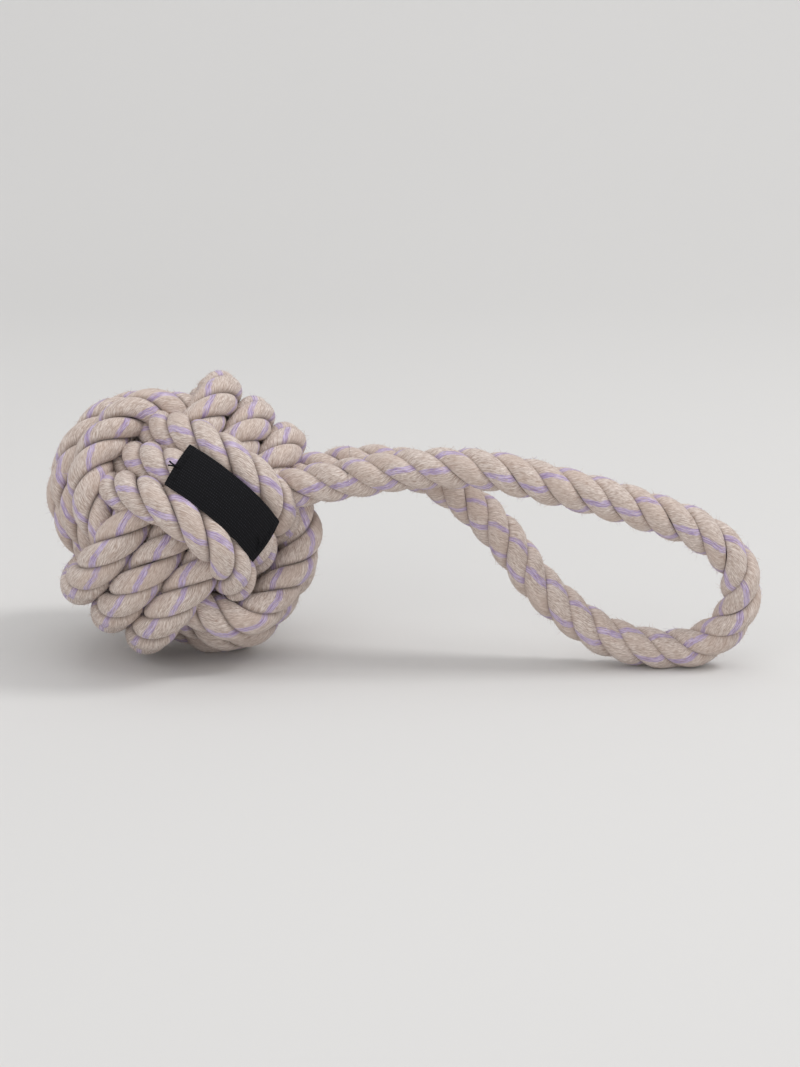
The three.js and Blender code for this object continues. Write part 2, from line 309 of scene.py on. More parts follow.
def strand_tube(points, up, right, turn, swell, radius, section):
    """The points of a strand, ring by ring, and the way that each faces."""
    section_x, section_y, _ = section
    radial = np.cos(turn)[:, None] * up + np.sin(turn)[:, None] * right
    tangential = -np.sin(turn)[:, None] * up + np.cos(turn)[:, None] * right
    middle = points + radius * STRAND_CENTRE * radial
    reach = radius * swell[:, None]
    squeeze = 1 - CREASE_GAP / radius
    x = (reach * section_x)[..., None] * radial[:, None, :]
    y = (reach * squeeze * section_y)[..., None] * tangential[:, None, :]
    return (middle[:, None, :] + x + y).reshape(-1, 3), unit(x + y).reshape(-1, 3)


def yarn_places(yarn_angle, lengths, section):
    """Where each point of a strand lies among its yarns: on a circle, and along it, in mm."""
    section_x, section_y, _ = section
    angle = np.arctan2(section_y, section_x)[None, :] + yarn_angle[:, None]
    length = np.broadcast_to(lengths[:, None], angle.shape)
    around = [YARN_RADIUS * np.cos(angle), YARN_RADIUS * np.sin(angle), length]
    return np.stack(around, axis=-1).reshape(-1, 3)


def tube_faces(rings, sides, first):
    ring, side = np.meshgrid(np.arange(rings - 1), np.arange(sides), indexing="ij")
    here = first + ring * sides + side
    beside = first + ring * sides + (side + 1) % sides
    quads = np.stack([here, beside, beside + sides, here + sides], axis=-1).reshape(-1, 4)
    ends = [list(range(first + sides - 1, first - 1, -1))]
    ends.append([first + (rings - 1) * sides + k for k in range(sides)])
    return quads.tolist() + ends


# %% [markdown]
# Loose fibres stand out from cotton yarn all over. A hair system would be lost in the exported model,
# so each is a thin hair of three sides in the rope's own mesh. A real fibre is about 0.02 mm thick.
# The hairs are drawn several times thicker, because they wouldn't show otherwise.

# %% Loose fibres
FLOOR_TOUCH = 0.1 * MM  # lowest that any rope goes
FUZZ_PER_MM = 12
FUZZ_LENGTH = (0.5 * MM, 2.6 * MM)
FUZZ_RADIUS = 0.05 * MM
FUZZ_RISE = (0.1, 0.7)  # how much a hair leans out of the rope
FUZZ_STRAY = 0.5  # how much it leans any way at all
FUZZ_ALONG = 0.7  # how much it leans along the rope
FUZZ_CURL = 0.35
FUZZ_CREASE = 0.3  # no hair grows deeper in a crease than this
HAIR_RINGS = ((-0.1, 1), (0.5, 0.8))  # share of a hair's length, and share of its thickness there
HAIR_SIDES = 3
HAIR_POINTS = HAIR_SIDES * len(HAIR_RINGS) + 1


def fuzz(draw, verts, normals, along, yarns, count):
    """Loose fibres: each goes from a root through a bend to its tip."""
    picks = draw.integers(0, len(verts), count)
    length = draw.uniform(*FUZZ_LENGTH, count)[:, None]
    rise = draw.uniform(*FUZZ_RISE, count)[:, None]
    stray = draw.normal(size=(count, 3))
    way = draw.choice([-1, 1], count)[:, None]
    lean = unit(rise * normals[picks] + FUZZ_STRAY * stray + FUZZ_ALONG * along[picks] * way)
    curl = unit(draw.normal(size=(count, 3))) * FUZZ_CURL
    side = unit(np.cross(lean, draw.normal(size=(count, 3))))
    other = np.cross(lean, side)
    points = []
    for share, width in HAIR_RINGS:
        middle = verts[picks] + lean * length * share + curl * length * share**2
        for k in range(HAIR_SIDES):
            turn = 2 * math.pi * k / HAIR_SIDES
            points.append(middle + FUZZ_RADIUS * width * (math.cos(turn) * side + math.sin(turn) * other))
    points.append(verts[picks] + (lean + curl) * length)
    hairs = np.stack(points, axis=1)
    above = hairs[:, :, 2].min(axis=1) > FLOOR_TOUCH
    return hairs[above], np.repeat(yarns[picks][above][:, None], HAIR_POINTS, axis=1)


def hair_faces(root):
    bend, tip = root + HAIR_SIDES, root + 2 * HAIR_SIDES
    sides = [(k, (k + 1) % HAIR_SIDES) for k in range(HAIR_SIDES)]
    walls = [[root + a, root + b, bend + b, bend + a] for a, b in sides]
    point = [[bend + a, bend + b, tip] for a, b in sides]
    return walls + point + [[root + 2, root + 1, root]]


# %% Mesh of a rope
SMOOTH_ANGLE = math.radians(60)


def rope_object(name, verts, faces, yarns, groove_shades):
    mesh = bpy.data.meshes.new(name)
    mesh.from_pydata(verts.tolist(), [], faces)
    mesh.attributes.new("yarn", "FLOAT_VECTOR", "POINT").data.foreach_set("vector", yarns.ravel())
    # Each point keeps its share of painted shade in the creases, for the cotton's material.
    mesh.attributes.new("groove_shade", "FLOAT", "POINT").data.foreach_set("value", groove_shades)
    rope = bpy.data.objects.new(name, mesh)
    bpy.context.collection.objects.link(rope)
    bpy.ops.object.select_all(action="DESELECT")
    rope.select_set(True)
    bpy.context.view_layer.objects.active = rope
    bpy.ops.object.shade_smooth_by_angle(angle=SMOOTH_ANGLE)
    return rope


# %% Rope along a path
STRAND_WANDER = 0.10  # radians by which a strand strays from an even lay
STRAND_SWELL = 0.025  # share by which it swells and thins
STRAND_SEED_STEP = 10
SWELL_SEED_STEP = 3
STRAND_YARN_SHIFT = 700  # mm along the pattern of the yarns, from strand to strand
ROPE_YARN_SHIFT = 97  # and from rope to rope


def wander(runs, seed, waves=(31, 53, 97)):
    """A slow wander along a rope, between about -1 and 1. Runs are in metres, waves in mm."""
    draw = random.Random(seed)
    swings = [np.sin(2 * math.pi * (runs / (wave * MM) + draw.random())) for wave in waves]
    return np.sum(swings, axis=0) / len(waves)


def lay_rope(name, points, outward, phase, yarn_turn, seed, radius, section, covered):
    """One rope of three strands along a path. Phase is the strands' turn about it at each point.

    Covered says where something lies on the rope, so that no loose fibre stands up there.
    """
    tangents, up, right, runs = rope_frame(points, outward)
    rings = len(points)
    draw = np.random.default_rng(seed)
    verts, faces, yarns, normals = [], [], [], []
    for k in range(STRANDS):
        strand_seed = seed + STRAND_SEED_STEP * k
        turn = phase + 2 * math.pi * k / STRANDS + STRAND_WANDER * wander(runs, strand_seed)
        swell = 1 + STRAND_SWELL * wander(runs, strand_seed + SWELL_SEED_STEP)
        tube, facing = strand_tube(points, up, right, turn, swell, radius, section)
        yarn_angle = yarn_turn * turn + 2 * math.pi * draw.random()
        lengths = runs / MM + STRAND_YARN_SHIFT * k + ROPE_YARN_SHIFT * seed
        faces += tube_faces(rings, STRAND_SIDES, len(verts) * rings * STRAND_SIDES)
        verts.append(tube)
        normals.append(facing)
        yarns.append(yarn_places(yarn_angle, lengths, section))
    verts, yarns, normals = np.concatenate(verts), np.concatenate(yarns), np.concatenate(normals)
    # Painted shade in the creases: how far each point of the strands is drawn towards a darker brown.
    groove_shades = np.tile(section[2], STRANDS * rings)

    on_crest = np.tile(section_crease < FUZZ_CREASE, STRANDS * rings)
    bare = np.tile(np.repeat(covered, STRAND_SIDES), STRANDS)
    hairy = np.flatnonzero(on_crest & ~bare)
    if len(hairy):
        along = np.tile(np.repeat(tangents, STRAND_SIDES, axis=0), (STRANDS, 1))
        count = int(FUZZ_PER_MM * RING_STEP / MM * np.count_nonzero(~covered))
        hairs, hair_yarns = fuzz(draw, verts[hairy], normals[hairy], along[hairy], yarns[hairy], count)
        for i in range(len(hairs)):
            faces += hair_faces(len(verts) + HAIR_POINTS * i)
        verts = np.concatenate([verts, hairs.reshape(-1, 3)])
        yarns = np.concatenate([yarns, hair_yarns.reshape(-1, 3)])
        groove_shades = np.concatenate([groove_shades, np.zeros(HAIR_POINTS * len(hairs))])
    verts[:, 2] = np.maximum(verts[:, 2], FLOOR_TOUCH)
    rope = rope_object(name, verts, faces, yarns, groove_shades)
    print(f"{name}: {runs[-1] / MM:.0f} mm of rope, {len(rope.data.polygons)} faces")
    return rope


# %% [markdown]
# ## The ball
# Each winding is one rope. About the same number of strands cross each of its turns, so the strands of
# neighbouring turns lie in each other's hollows, as they do in a ball that is drawn tight. Where the
# first strand starts is set so that the strands fall where the photograph shows them.
#
# A winding's front and back are given apart, because the ball isn't quite even. Reach is how far each
# lane bows out from the ball's middle, and side is how far it lies to one side, both in mm. Square is
# the power of the rounded square at the two bends: 2 is round, and more is squarer. The lay says how
# many strands cross one turn, where the first one starts, in radians, and how far the yarns twist in
# their strand for each turn of the strand.

# %% Shapes of the windings
UPPER_FRONT = {"reach": (44, 45.4, 40.6), "square": (2.4, 2.7), "side": (-15.2, 0, 16.2)}
UPPER_BACK = {"reach": (44.6, 46, 42.5), "square": (4, 2.7), "side": (-15.2, 0, 15.6)}
LOWER_FRONT = {"reach": (43, 44.6, 43), "square": (2.6, 2.6), "side": (-15.2, 0, 15.2)}
LOWER_BACK = {"reach": (44.6, 45.4, 45.2), "square": (2.6, 2.6), "side": (-13.4, 1.8, 17.4)}
LABEL_FRONT = {"reach": (43, 44.6, 45.2), "square": (2.05, 2.6), "side": (-15.2, -0.5, 12.9)}
LABEL_BACK = {"reach": (43, 44.6, 43), "square": (2.6, 2.6), "side": (-15.2, 0, 15.2)}
print("furthest lane of the upper winding:", max(UPPER_BACK["reach"]), "mm from the middle")

# %% Windings
LAY_UPPER = {"strands": 19, "start": 1.5, "yarn_turn": 2.09}
LAY_LOWER = {"strands": 19, "start": 0.9, "yarn_turn": 2.08}
LAY_LABEL = {"strands": 19.16, "start": -0.11, "yarn_turn": 2.14}
BALL_ROPE_RADIUS = 8.0 * MM
LABEL_COVERS = (math.radians(70), math.radians(125))  # arc of the middle turn under the label
TURN_SAMPLES = 2000


def winding(name, node, out, inward, across, front, back, lay, seed, labelled=False):
    points, outward, angles = winding_path(out, inward, across, front, back)
    whole_turn = np.linspace(0, 2 * math.pi, TURN_SAMPLES)
    runs = path_runs(np.column_stack(turn_outline(whole_turn, front, back)))
    turns = np.floor(angles / (2 * math.pi))
    share = np.interp(angles - 2 * math.pi * turns, whole_turn, runs) / runs[-1]
    phase = lay["start"] + 2 * math.pi * lay["strands"] / STRANDS * (turns + share)
    place = angles - 2 * math.pi * (TURNS - 1)
    covered = labelled & (place > LABEL_COVERS[0]) & (place < LABEL_COVERS[1])
    rope = lay_rope(
        name, points, outward, phase, lay["yarn_turn"], seed, BALL_ROPE_RADIUS, PRESSED_STRAND, covered
    )
    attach(rope, "fist")
    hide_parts(node)
    return rope


ropes = [
    winding(
        "upper_winding", "first_wraps", upper_axis, lower_axis, label_axis,
        UPPER_FRONT, UPPER_BACK, LAY_UPPER, seed=1,
    ),
    winding(
        "lower_winding", "second_wraps", lower_axis, label_axis, upper_axis,
        LOWER_FRONT, LOWER_BACK, LAY_LOWER, seed=2,
    ),
    winding(
        "label_winding", "third_wraps", label_axis, upper_axis, lower_axis,
        LABEL_FRONT, LABEL_BACK, LAY_LABEL, seed=3, labelled=True,
    ),
]

# %% [markdown]
# The short end of the rope fills the middle of the ball. It hardly shows, but without it the gaps
# between the windings would let the light through.

# %% Core
LAY = 35.5 * MM  # length in which a strand goes once round the rope
CORE_RADIUS = 6.5 * MM
CORE_COIL = 17 * MM
CORE_TURNS = 1.7
CORE_PITCH = 13.2 * MM
CORE_RINGS = 170
CORE_YARN_TURN = 2.08

core_turn = np.linspace(0, 2 * math.pi * CORE_TURNS, CORE_RINGS)
core_flat = np.outer(np.cos(core_turn), upper_axis) + np.outer(np.sin(core_turn), label_axis)
core_height = CORE_PITCH * (core_turn / (2 * math.pi) - CORE_TURNS / 2)
core_points = ball_middle + CORE_COIL * core_flat + np.outer(core_height, lower_axis)
core_phase = core_turn * CORE_COIL * 2 * math.pi / LAY
core_rope = lay_rope(
    "core_rope",
    core_points,
    core_flat,
    core_phase,
    CORE_YARN_TURN,
    seed=4,
    radius=CORE_RADIUS,
    section=PRESSED_STRAND,
    covered=np.ones(CORE_RINGS, bool),
)
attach(core_rope, "fist")
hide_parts("core_coil")
ropes.append(core_rope)

# %% [markdown]
# ## The handle
# The loop is a free rope. Near the ball its two legs bend in two places, where the sway and the lift
# of the handle turn, so the rope is parted there: the legs bend from the ball to the neck, and the
# loop from the neck to the handle.

# %% Lay of the handle
YARN_TURN_LOOP = 2.03
YARN_TURN_LEGS = 2.15
YARN_TURN_CHANGE = (30 * MM, 120 * MM)  # distances from the rope's ends
LAY_SHIFT = ((40, -0.72), (95, -0.26), (310, -0.26), (350, 0.24))  # mm along the rope, and radians


def transported(points):
    """Directions square to a path that turn with it and never twist about it."""
    tangents = unit(np.gradient(points, axis=0))
    side = unit(np.cross(tangents[0], (0, 0, 1)))
    sides = []
    for tangent in tangents:
        side = unit(side - tangent * (side @ tangent))
        sides.append(side)
    return np.array(sides)


handle_sides = transported(handle_points)
handle_phase = 2 * math.pi * handle_runs / LAY + np.interp(handle_runs / MM, *zip(*LAY_SHIFT))
from_end = np.minimum(handle_runs, handle_runs[-1] - handle_runs)
loop_share = smooth(from_end, *YARN_TURN_CHANGE)
handle_yarn_turn = YARN_TURN_LEGS + (YARN_TURN_LOOP - YARN_TURN_LEGS) * loop_share
print(f"strands go {handle_phase[-1] / (2 * math.pi):.1f} times round the handle's rope")

# %% Handle rope
HANDLE_RADIUS = 7.6 * MM
HANDLE_SEED = 5
PARTING_X = -17.5 * MM

parted = np.flatnonzero(handle_points[:, 0] > PARTING_X)
front_end, rear_end = parted[0], parted[-1]


def handle_piece(name, node, first, last):
    part = slice(first, last + 1)
    rope = lay_rope(
        name,
        handle_points[part],
        handle_sides[part],
        handle_phase[part],
        handle_yarn_turn[part],
        HANDLE_SEED,
        HANDLE_RADIUS,
        FREE_STRAND,
        covered=np.zeros(last + 1 - first, bool),
    )
    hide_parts(node)
    ropes.append(rope)
    return rope


neck_front_rope = handle_piece("neck_front_rope", "neck_front", 0, front_end)
neck_rear_rope = handle_piece("neck_rear_rope", "neck_rear", rear_end, len(handle_points) - 1)
handle_rope = handle_piece("handle_rope", "handle_loop", front_end, rear_end)
for neck in (neck_front_rope, neck_rear_rope):
    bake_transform(neck)
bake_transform(handle_rope)

# %% [markdown]
# ## The label
# A narrow black woven ribbon lies along the middle turn of the label winding, sewn on a little askew.
# It starts as a flat grid, which is bent over the rope as its outer face. Then it gets its thickness,
# inwards from there, and a softened edge. It is bare.

# %% Crest under the label
LABEL_ARC = (math.radians(25), math.radians(155))
LABEL_ARC_SAMPLES = 2601

arc = np.linspace(*LABEL_ARC, LABEL_ARC_SAMPLES)
crest_x, crest_y = turn_outline(arc, LABEL_FRONT, LABEL_BACK)
slope_x, slope_y = np.gradient(crest_x), np.gradient(crest_y)
slope = np.hypot(slope_x, slope_y)
normal_x, normal_y = slope_y / slope, -slope_x / slope
crest_x = crest_x + BALL_ROPE_RADIUS * normal_x
crest_y = crest_y + BALL_ROPE_RADIUS * normal_y
crest_run = path_runs(np.column_stack([crest_x, crest_y]))
crest_run -= crest_run[len(crest_run) // 2]
print(f"crest under the label: {(crest_run[-1] - crest_run[0]) / MM:.0f} mm")

# %% Points on the label
LABEL_LENGTH = 48 * MM
LABEL_WIDTH = 18 * MM
LABEL_OFFSET = 6.7 * MM  # of its middle, along the turn towards the handle
LABEL_ASIDE = -0.35 * MM  # of its middle, across the turn
LABEL_SLANT = 0.02  # how far it drifts across the turn, for each length along it
LABEL_SKEW = 0.08  # how far its ends lean along the turn, for each length across it
LABEL_LIFT = 0.25 * MM  # of its outer face over the strands
LABEL_CROWN = 0.9 * MM  # fall from its middle to its long edges
HEM_LENGTH = 3.5 * MM
HEM_SLOPE = 1 * MM
HEM_RISE = 0.35 * MM


def on_label(along, aside, lift):
    """A point on the label: along the turn and across it from the label's middle, in metres."""
    crown = LABEL_CROWN * (2 * aside / LABEL_WIDTH) ** 2
    hem_start = LABEL_LENGTH / 2 - HEM_LENGTH
    hem = HEM_RISE * float(smooth(abs(along), hem_start, hem_start + HEM_SLOPE))
    rise = LABEL_LIFT - crown + hem + lift
    place = LABEL_OFFSET + along + LABEL_SKEW * aside
    x = np.interp(place, crest_run, crest_x + rise * normal_x)
    y = np.interp(place, crest_run, crest_y + rise * normal_y)
    across = aside + LABEL_ASIDE + LABEL_SLANT * along
    return ball_middle + x * upper_axis + y * label_axis + across * lower_axis


print("middle of the label at", on_label(0, 0, 0).round(4))

# %% Label
LABEL_THICKNESS = 0.8 * MM
LABEL_GRID = (110, 36)
EDGE_ROUND = 0.25 * MM
EDGE_ANGLE = math.radians(50)

bpy.ops.object.select_all(action="DESELECT")
bpy.ops.mesh.primitive_grid_add(x_subdivisions=LABEL_GRID[0], y_subdivisions=LABEL_GRID[1], size=1)
label = bpy.context.object
label.name = "woven_label"
for vertex in label.data.vertices:
    vertex.co = Vector(on_label(vertex.co.x * LABEL_LENGTH, vertex.co.y * LABEL_WIDTH, 0))
label.data.update()
solidify = label.modifiers.new("thickness", "SOLIDIFY")
solidify.thickness = LABEL_THICKNESS
solidify.offset = 1
bpy.ops.object.modifier_apply(modifier="thickness")
bevel = label.modifiers.new("soft edge", "BEVEL")
bevel.width = EDGE_ROUND
bevel.segments = 2
bevel.limit_method = "ANGLE"
bpy.ops.object.modifier_apply(modifier="soft edge")
bpy.ops.object.shade_smooth_by_angle(angle=EDGE_ANGLE)
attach(label, "fist")
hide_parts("label")
print("label faces:", len(label.data.polygons))

# %% [markdown]
# A few black stitches hold each end of the label to the rope. At the upper end a cut thread stands out,
# with a frayed yarn beside it, and at the lower end a loose thread lies in a hook on the label.

# %% Paths of the thread
STITCHES = 5
STITCH_POINTS = 7
STITCH_SPAN = 12 * MM
STITCH_LENGTH = 1.9 * MM
STITCH_INSET = 2.3 * MM
STITCH_LEAN = 0.5 * MM
STITCH_RISE = 0.3 * MM
STITCH_SINK = 0.15 * MM

# Each point: mm beyond the label's end, across the label, and above it.
TAIL = ((-2.5, 1.0, 0), (-1.2, 1.1, 0.3), (0.2, 1.2, 0.4), (1.2, 1.1, 0.5), (2.2, 0.8, 0.7))
TAIL_FRAY = ((-0.5, 1.5, 0.2), (0.6, 1.8, 0.4), (1.3, 2.1, 0.5), (1.9, 2.5, 0.7))
HOOK = (
    (-7.5, 2.4, -0.2),
    (-6.4, 2.0, 0.2),
    (-5.2, 2.2, 0.25),
    (-4.2, 2.9, 0.25),
    (-3.6, 4.0, 0.2),
    (-3.0, 5.0, -0.2),
)


def loose_thread(end, points):
    """A thread at one end of the label, which is -1 or 1."""
    reach = LABEL_LENGTH / 2
    return [on_label(end * (reach + out * MM), aside * MM, up * MM) for out, aside, up in points]


def stitch_row(end):
    """Stitches side by side across the label, each a small arch. End is -1 or 1."""
    rows = []
    middle = end * (LABEL_LENGTH / 2 - STITCH_INSET)
    for k in range(STITCHES):
        aside = STITCH_SPAN * ((k + 0.5) / STITCHES - 0.5)
        arch = []
        for share in np.linspace(-0.5, 0.5, STITCH_POINTS):
            height = STITCH_RISE * (1 - (2 * share) ** 2) - STITCH_SINK
            arch.append(on_label(middle + STITCH_LEAN * share, aside + STITCH_LENGTH * share, height))
        rows.append(arch)
    return rows


left_paths = [*stitch_row(-1), loose_thread(-1, TAIL), loose_thread(-1, TAIL_FRAY)]
right_paths = [*stitch_row(1), loose_thread(1, HOOK)]
print("lengths of thread:", len(left_paths), "left,", len(right_paths), "right")

# %% Thread
THREAD_RADIUS = 0.3 * MM


def thread(paths):
    """Thin round threads through the given points, as one mesh."""
    curve = bpy.data.curves.new("thread", "CURVE")
    curve.dimensions = "3D"
    curve.bevel_depth = THREAD_RADIUS
    curve.bevel_resolution = 2
    curve.use_fill_caps = True
    for points in paths:
        spline = curve.splines.new("POLY")
        spline.points.add(len(points) - 1)
        for place, point in zip(spline.points, points):
            place.co = (*point, 1)
    made = bpy.data.objects.new("thread", curve)
    bpy.context.collection.objects.link(made)
    bpy.ops.object.select_all(action="DESELECT")
    made.select_set(True)
    bpy.context.view_layer.objects.active = made
    bpy.ops.object.convert(target="MESH")
    bpy.ops.object.shade_smooth_by_angle(angle=SMOOTH_ANGLE)
    return bpy.context.object


threads = []
for name, node, paths in (
    ("label_thread_left", "label_stitch_left", left_paths),
    ("label_thread_right", "label_stitch_right", right_paths),
):
    piece = thread(paths)
    piece.name = name
    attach(piece, "fist")
    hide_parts(node)
    threads.append(piece)
print("thread faces:", [len(piece.data.polygons) for piece in threads])

# %% [markdown]
# ## Materials
# Colours are written as sRGB hex values and turned to linear by one function. One small function adds
# a node with its settings and links. A Mix node has sockets for numbers, vectors and colours under the
# same names, so its colour sockets are found by their place.

# %% Helpers for materials
MIX_SHARE, MIX_FIRST, MIX_SECOND, MIX_RESULT = 0, 6, 7, 2


def srgb(code):
    shares = [int(code[i:i + 2], 16) / 255 for i in (1, 3, 5)]
    return (*[c / 12.92 if c <= 0.04045 else ((c + 0.055) / 1.055) ** 2.4 for c in shares], 1.0)


def add_node(tree, kind, inputs=None, **settings):
    made = tree.nodes.new(kind)
    for name, value in settings.items():
        setattr(made, name, value)
    for name, value in (inputs or {}).items():
        if isinstance(value, bpy.types.NodeSocket):
            tree.links.new(value, made.inputs[name])
        else:
            made.inputs[name].default_value = value
    return made


def new_material(name):
    material = bpy.data.materials.new(name)
    material.use_nodes = True
    return material, material.node_tree, material.node_tree.nodes["Principled BSDF"]


def two_tone(tree, pattern, low, high, dark, light):
    """A colour that goes from dark to light as a pattern rises from low to high."""
    rise = {"Value": pattern, "From Min": low, "From Max": high}
    share = add_node(tree, "ShaderNodeMapRange", rise, interpolation_type="SMOOTHSTEP").outputs["Result"]
    tones = {MIX_SHARE: share, MIX_FIRST: srgb(dark), MIX_SECOND: srgb(light)}
    return add_node(tree, "ShaderNodeMix", tones, data_type="RGBA").outputs[MIX_RESULT]


# %% [markdown]
# ### Laid cotton
# Undyed cotton yarn, spun soft and laid into rope. It is matt, with a little sheen from loose fibre.
# Fine fibres run along the yarns, some darker and some lighter. Each strand has two lavender tracer
# yarns. The grooves between strands are painted a little darker, as painted shade.
#
# The patterns lie on the circle of the yarns, in mm. Between two points of the mesh the stored place
# cuts across that circle, so it is put back onto it first. Real fibres are about 0.02 mm thick, and
# are drawn as wide as they need to be to show.

# %% Patterns of the cotton
FIBRES = (0.3, 3.4)  # width and length, mm
NAP = (0.22, 1.5)
YARNS = (1.1, 30.0)
PATCHES = (9.0, 30.0)
STRAYS = (0.7, 5.0)

cotton, tree, shader = new_material("laid_cotton")
stored = add_node(tree, "ShaderNodeAttribute", attribute_name="yarn").outputs["Vector"]
around = add_node(tree, "ShaderNodeVectorMath", {0: stored, 1: (1, 1, 0)}, operation="MULTIPLY").outputs[0]
around = add_node(tree, "ShaderNodeVectorMath", {0: around}, operation="NORMALIZE").outputs[0]
along = add_node(tree, "ShaderNodeVectorMath", {0: stored, 1: (0, 0, 1)}, operation="MULTIPLY").outputs[0]
put_back = {0: around, 1: (YARN_RADIUS, YARN_RADIUS, 0), 2: along}
yarn = add_node(tree, "ShaderNodeVectorMath", put_back, operation="MULTIPLY_ADD").outputs[0]
# The share of painted shade in the creases.
groove_shade = add_node(tree, "ShaderNodeAttribute", attribute_name="groove_shade").outputs["Fac"]


def stretched_noise(width, length, detail):
    """Noise drawn out along the yarns."""
    scale = (1 / width, 1 / width, 1 / length)
    place = add_node(tree, "ShaderNodeVectorMath", {0: yarn, 1: scale}, operation="MULTIPLY").outputs[0]
    pattern = {"Vector": place, "Scale": 1.0, "Detail": detail}
    return add_node(tree, "ShaderNodeTexNoise", pattern).outputs["Fac"]


fibres = stretched_noise(*FIBRES, detail=3.0)
nap = stretched_noise(*NAP, detail=2.0)
yarn_ridges = stretched_noise(*YARNS, detail=1.0)
patches = stretched_noise(*PATCHES, detail=2.0)
strays = stretched_noise(*STRAYS, detail=3.0)
print(f"fibres drawn {FIBRES[0]} mm wide, on yarns {YARNS[0]} mm wide")

# %% Tracer yarns
TRACERS = ((0, 1.15), (158, 0.95))  # place among the yarns in degrees, and half width in mm
TRACER_FRAY = 0.09
TRACER_NAP = 0.07
TRACER_SHIFT = 0.082  # allows for what both add on the average
TRACER_EDGE = (0.02, 0.012)


def tracer(angle, half_width):
    """The share of tracer yarn at a point: a band at one angle among the strand's yarns."""
    turn = math.radians(angle)
    way = (math.cos(turn) / YARN_RADIUS, math.sin(turn) / YARN_RADIUS, 0)
    facing = add_node(tree, "ShaderNodeVectorMath", {0: yarn, 1: way}, operation="DOT_PRODUCT")
    strayed = {0: strays, 1: TRACER_FRAY, 2: facing.outputs["Value"]}
    frayed = add_node(tree, "ShaderNodeMath", strayed, operation="MULTIPLY_ADD").outputs[0]
    napped = {0: nap, 1: TRACER_NAP, 2: frayed}
    frayed = add_node(tree, "ShaderNodeMath", napped, operation="MULTIPLY_ADD").outputs[0]
    edge = math.cos(half_width / YARN_RADIUS) + TRACER_SHIFT
    band = {"Value": frayed, "From Min": edge - TRACER_EDGE[0], "From Max": edge + TRACER_EDGE[1]}
    return add_node(tree, "ShaderNodeMapRange", band, interpolation_type="SMOOTHSTEP").outputs["Result"]


traces = [tracer(angle, half_width) for angle, half_width in TRACERS]
traced = add_node(tree, "ShaderNodeMath", {0: traces[0], 1: traces[1]}, operation="MAXIMUM").outputs[0]
bared = {"Value": nap, "From Min": 0.27, "From Max": 0.52}
bared = add_node(tree, "ShaderNodeMapRange", bared, interpolation_type="SMOOTHSTEP").outputs["Result"]
traced = add_node(tree, "ShaderNodeMath", {0: traced, 1: bared}, operation="MULTIPLY").outputs[0]
print("tracer yarns in a strand:", len(traces))

# %% Colour and relief of the cotton
NAP_SHARE = 0.5
WORN_SHARE = 0.4
WORN_BEIGE = "#C8B1A2"
# The darker brown of the painted shade in the creases between strands.
CREASE_SHADE_COLOUR = "#5A4132"
RIDGE_HEIGHT = 0.8  # beside the fibres' 1
NAP_HEIGHT = 1.4
RELIEF = 0.35 * MM

beige = two_tone(tree, fibres, 0.3, 0.7, "#AC9486", "#E3D6CD")
napped_beige = two_tone(tree, nap, 0.37, 0.63, "#A68F81", "#F2E8E0")
lavender = two_tone(tree, fibres, 0.3, 0.7, "#9780AD", "#D8C9E0")
tones = {MIX_SHARE: NAP_SHARE, MIX_FIRST: beige, MIX_SECOND: napped_beige}
beige = add_node(tree, "ShaderNodeMix", tones, data_type="RGBA").outputs[MIX_RESULT]
worn = {"Value": patches, "From Min": 0.4, "From Max": 0.7, "To Max": WORN_SHARE}
worn = add_node(tree, "ShaderNodeMapRange", worn, interpolation_type="SMOOTHSTEP").outputs["Result"]
tones = {MIX_SHARE: worn, MIX_FIRST: beige, MIX_SECOND: srgb(WORN_BEIGE)}
beige = add_node(tree, "ShaderNodeMix", tones, data_type="RGBA").outputs[MIX_RESULT]
tones = {MIX_SHARE: traced, MIX_FIRST: beige, MIX_SECOND: lavender}
colour = add_node(tree, "ShaderNodeMix", tones, data_type="RGBA").outputs[MIX_RESULT]
# Painted shade: the creases between strands are drawn towards the darker brown.
tones = {MIX_SHARE: groove_shade, MIX_FIRST: colour, MIX_SECOND: srgb(CREASE_SHADE_COLOUR)}
colour = add_node(tree, "ShaderNodeMix", tones, data_type="RGBA").outputs[MIX_RESULT]
ridged = {0: yarn_ridges, 1: RIDGE_HEIGHT, 2: fibres}
relief = add_node(tree, "ShaderNodeMath", ridged, operation="MULTIPLY_ADD").outputs[0]
napped = {0: nap, 1: NAP_HEIGHT, 2: relief}
relief = add_node(tree, "ShaderNodeMath", napped, operation="MULTIPLY_ADD").outputs[0]
bump = add_node(tree, "ShaderNodeBump", {"Height": relief, "Strength": 0.6, "Distance": RELIEF})
tree.links.new(colour, shader.inputs["Base Color"])
tree.links.new(bump.outputs["Normal"], shader.inputs["Normal"])
shader.inputs["Roughness"].default_value = 0.93
shader.inputs["Specular IOR Level"].default_value = 0.2
shader.inputs["Sheen Weight"].default_value = 0.25
shader.inputs["Sheen Roughness"].default_value = 0.6
for rope in ropes:
    rope.data.materials.append(cotton)
print("cotton on", len(ropes), "ropes")

# %% [markdown]
# ### Woven label ribbon
# Black polyester ribbon in a close plain weave: ribs across it, and a little lint, which make it a dull
# black. Its real ribs are about 0.3 mm apart, too fine to show, so both ways of the weave are drawn
# two or three times as coarse. The pattern follows the ribbon's own UV map, stretched to its size in mm.

# %% Label material
RIB = 0.75  # mm between ribs
WARP = 0.95  # mm between warp threads
WAVE_LENGTH = 2 * math.pi / 20  # of a Wave texture at a scale of 1
LINT = 0.4  # mm across a speck
LINT_HEIGHT = 0.5
WEAVE_DEPTH = 0.15 * MM
# The gaps between the ribbon's threads are drawn darker, as painted shade.
WEAVE_GAP_SHADE = "#0F0F11"

